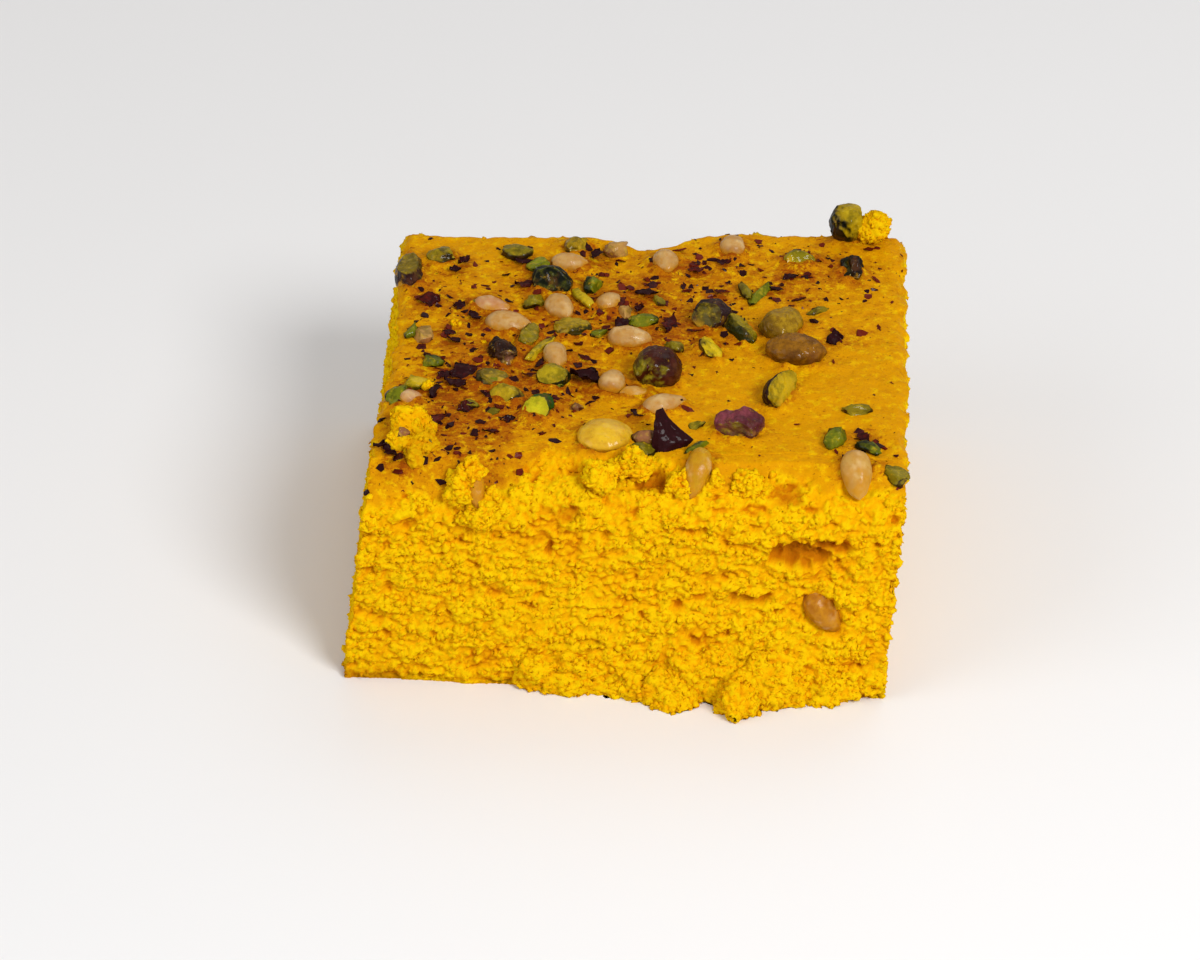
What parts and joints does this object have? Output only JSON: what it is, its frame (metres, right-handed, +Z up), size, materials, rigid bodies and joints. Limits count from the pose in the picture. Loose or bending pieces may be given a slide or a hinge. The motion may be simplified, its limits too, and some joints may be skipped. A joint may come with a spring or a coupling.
{
  "type": "turmeric cake",
  "caption": "Square cut of soft yellow turmeric cake with a torn crumbly front and a smooth crust set with pistachios, pine nuts and dark petal flakes.",
  "frame": {"origin": "on the surface that the cake stands on, under the middle of its bounding box", "axes": "+X to the right and +Y to the back as seen from the torn front, +Z up through the crust"},
  "size_m": [0.1076, 0.106, 0.0537],
  "materials": {
    "cake_crumb": "moist open yellow crumb with a smoother, slightly glossy crust",
    "pistachio_green": "chopped kernel, green inside with a darker thin skin",
    "pistachio_brown": "whole kernel in its brown wrinkled skin",
    "pistachio_purple": "chopped kernel with purple-brown skin",
    "pine_nut": "smooth cream kernel, soft sheen",
    "pine_nut_in_crumb": "translucent amber kernel baked into the side",
    "glazed_nut": "yellow stained, glossy kernel",
    "dark_petal": "dry purple-black petal"
  },
  "bodies": {
    "root": {"cake": "cake_crumb", "pistachio_01": "pistachio_purple", "pistachio_02": "pistachio_green", "pistachio_03": "pistachio_green", "pistachio_04": "pistachio_green", "pistachio_05": "pistachio_green", "pistachio_06": "pistachio_green", "pistachio_07": "pistachio_green", "pistachio_08": "pistachio_purple", "pistachio_09": "pistachio_green", "pistachio_10": "pistachio_green", "pistachio_11": "pistachio_green", "pistachio_12": "pistachio_green", "pistachio_13": "pistachio_purple", "pistachio_14": "pistachio_purple", "pistachio_15": "pistachio_green", "pistachio_16": "pistachio_brown", "pistachio_17": "pistachio_brown", "pistachio_18": "pistachio_green", "pistachio_19": "pistachio_green", "pistachio_20": "pistachio_purple", "pistachio_21": "pistachio_green", "pistachio_22": "pistachio_green", "pistachio_23": "pistachio_green", "pine_nut_01": "pine_nut", "pine_nut_02": "pine_nut", "pine_nut_03": "pine_nut", "pine_nut_04": "pine_nut", "pine_nut_05": "pine_nut", "pine_nut_06": "pine_nut", "pine_nut_07": "pine_nut", "pine_nut_08": "pine_nut", "pine_nut_09": "pine_nut", "pine_nut_10": "pine_nut", "pine_nut_11": "pine_nut", "pine_nut_12": "pine_nut", "pine_nut_13": "pine_nut", "pine_nut_14": "pine_nut", "pine_nut_15": "pine_nut", "pine_nut_16": "pine_nut", "pine_nut_17": "pine_nut_in_crumb", "glazed_nut": "glazed_nut", "tall_petal": "dark_petal", "crumb_lump_front_left": "cake_crumb", "crumb_lump_back_right": "cake_crumb"}
  },
  "joints": []
}
